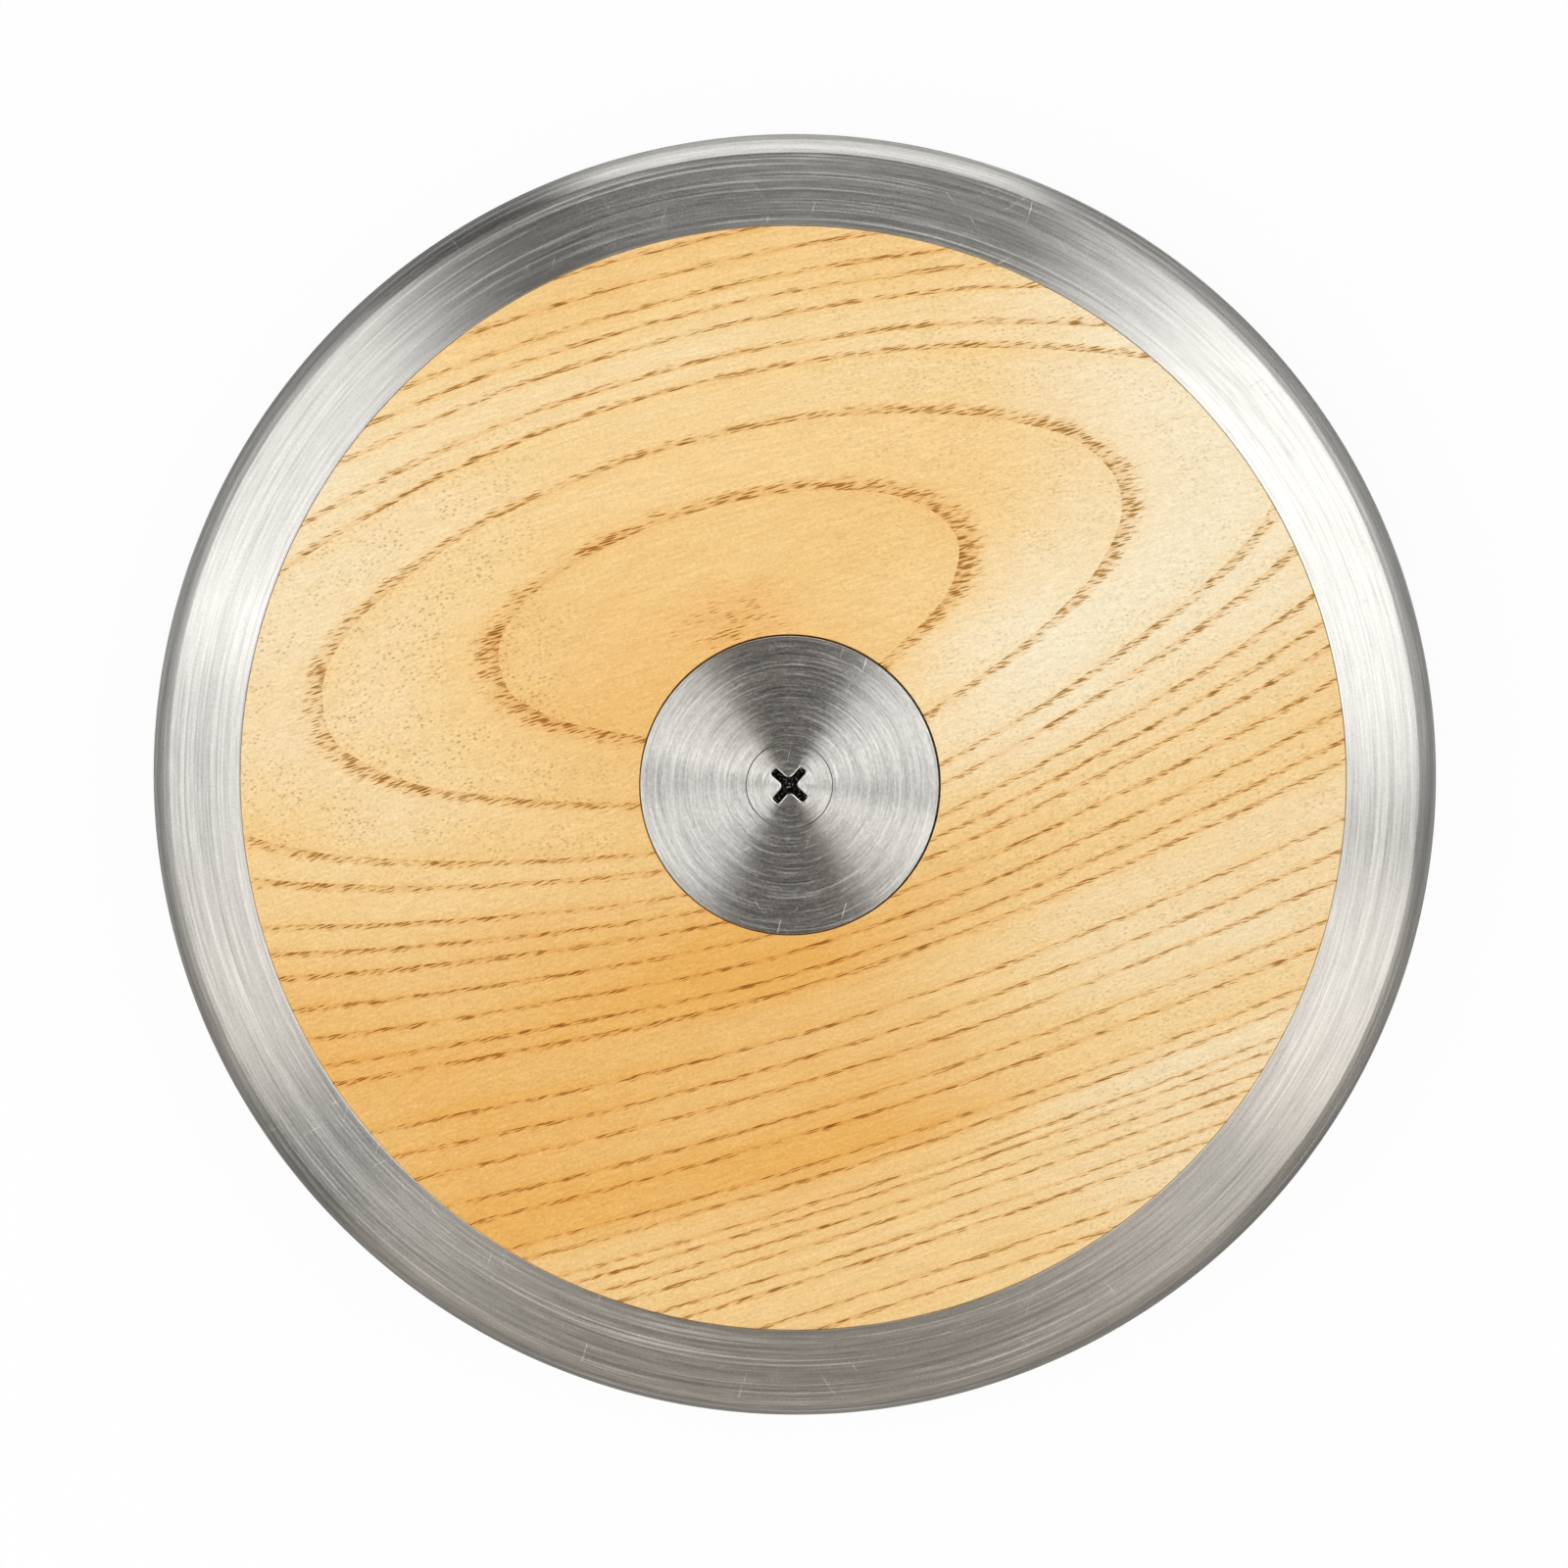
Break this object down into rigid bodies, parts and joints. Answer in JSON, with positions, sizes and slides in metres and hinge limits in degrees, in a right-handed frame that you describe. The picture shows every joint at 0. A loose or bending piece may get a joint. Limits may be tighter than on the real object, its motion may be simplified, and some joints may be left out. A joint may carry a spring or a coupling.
{
  "type": "throwing discus",
  "caption": "Throwing discus with a turned steel rim, wooden sides tapering from a flat centre, and countersunk-screwed steel centre plates.",
  "frame": {"origin": "centre of the discus, on its spin axis and in the joint between its two wooden sides", "axes": "+Z along the spin axis out of the upper face; +Y towards the top of the reference view; +X to its right"},
  "size_m": [0.22, 0.22, 0.045],
  "materials": {
    "rim_steel": "satin",
    "side_wood": "satin",
    "plate_steel": "satin",
    "screw_steel": "satin",
    "shim_steel": "satin",
    "core_steel": "satin",
    "dowel_steel": "satin"
  },
  "bodies": {
    "root": {"rim": "rim_steel", "side_upper": "side_wood", "centre_plate_upper": "plate_steel", "calibration_shim_upper_1": "shim_steel", "calibration_shim_upper_2": "shim_steel", "centre_screw_upper": "screw_steel", "side_lower": "side_wood", "centre_plate_lower": "plate_steel", "calibration_shim_lower_1": "shim_steel", "calibration_shim_lower_2": "shim_steel", "centre_screw_lower": "screw_steel", "core": "core_steel", "rim_dowel_1": "dowel_steel", "rim_dowel_2": "dowel_steel", "rim_dowel_3": "dowel_steel", "rim_dowel_4": "dowel_steel", "rim_dowel_5": "dowel_steel", "rim_dowel_6": "dowel_steel", "rim_dowel_7": "dowel_steel", "rim_dowel_8": "dowel_steel"}
  },
  "joints": []
}
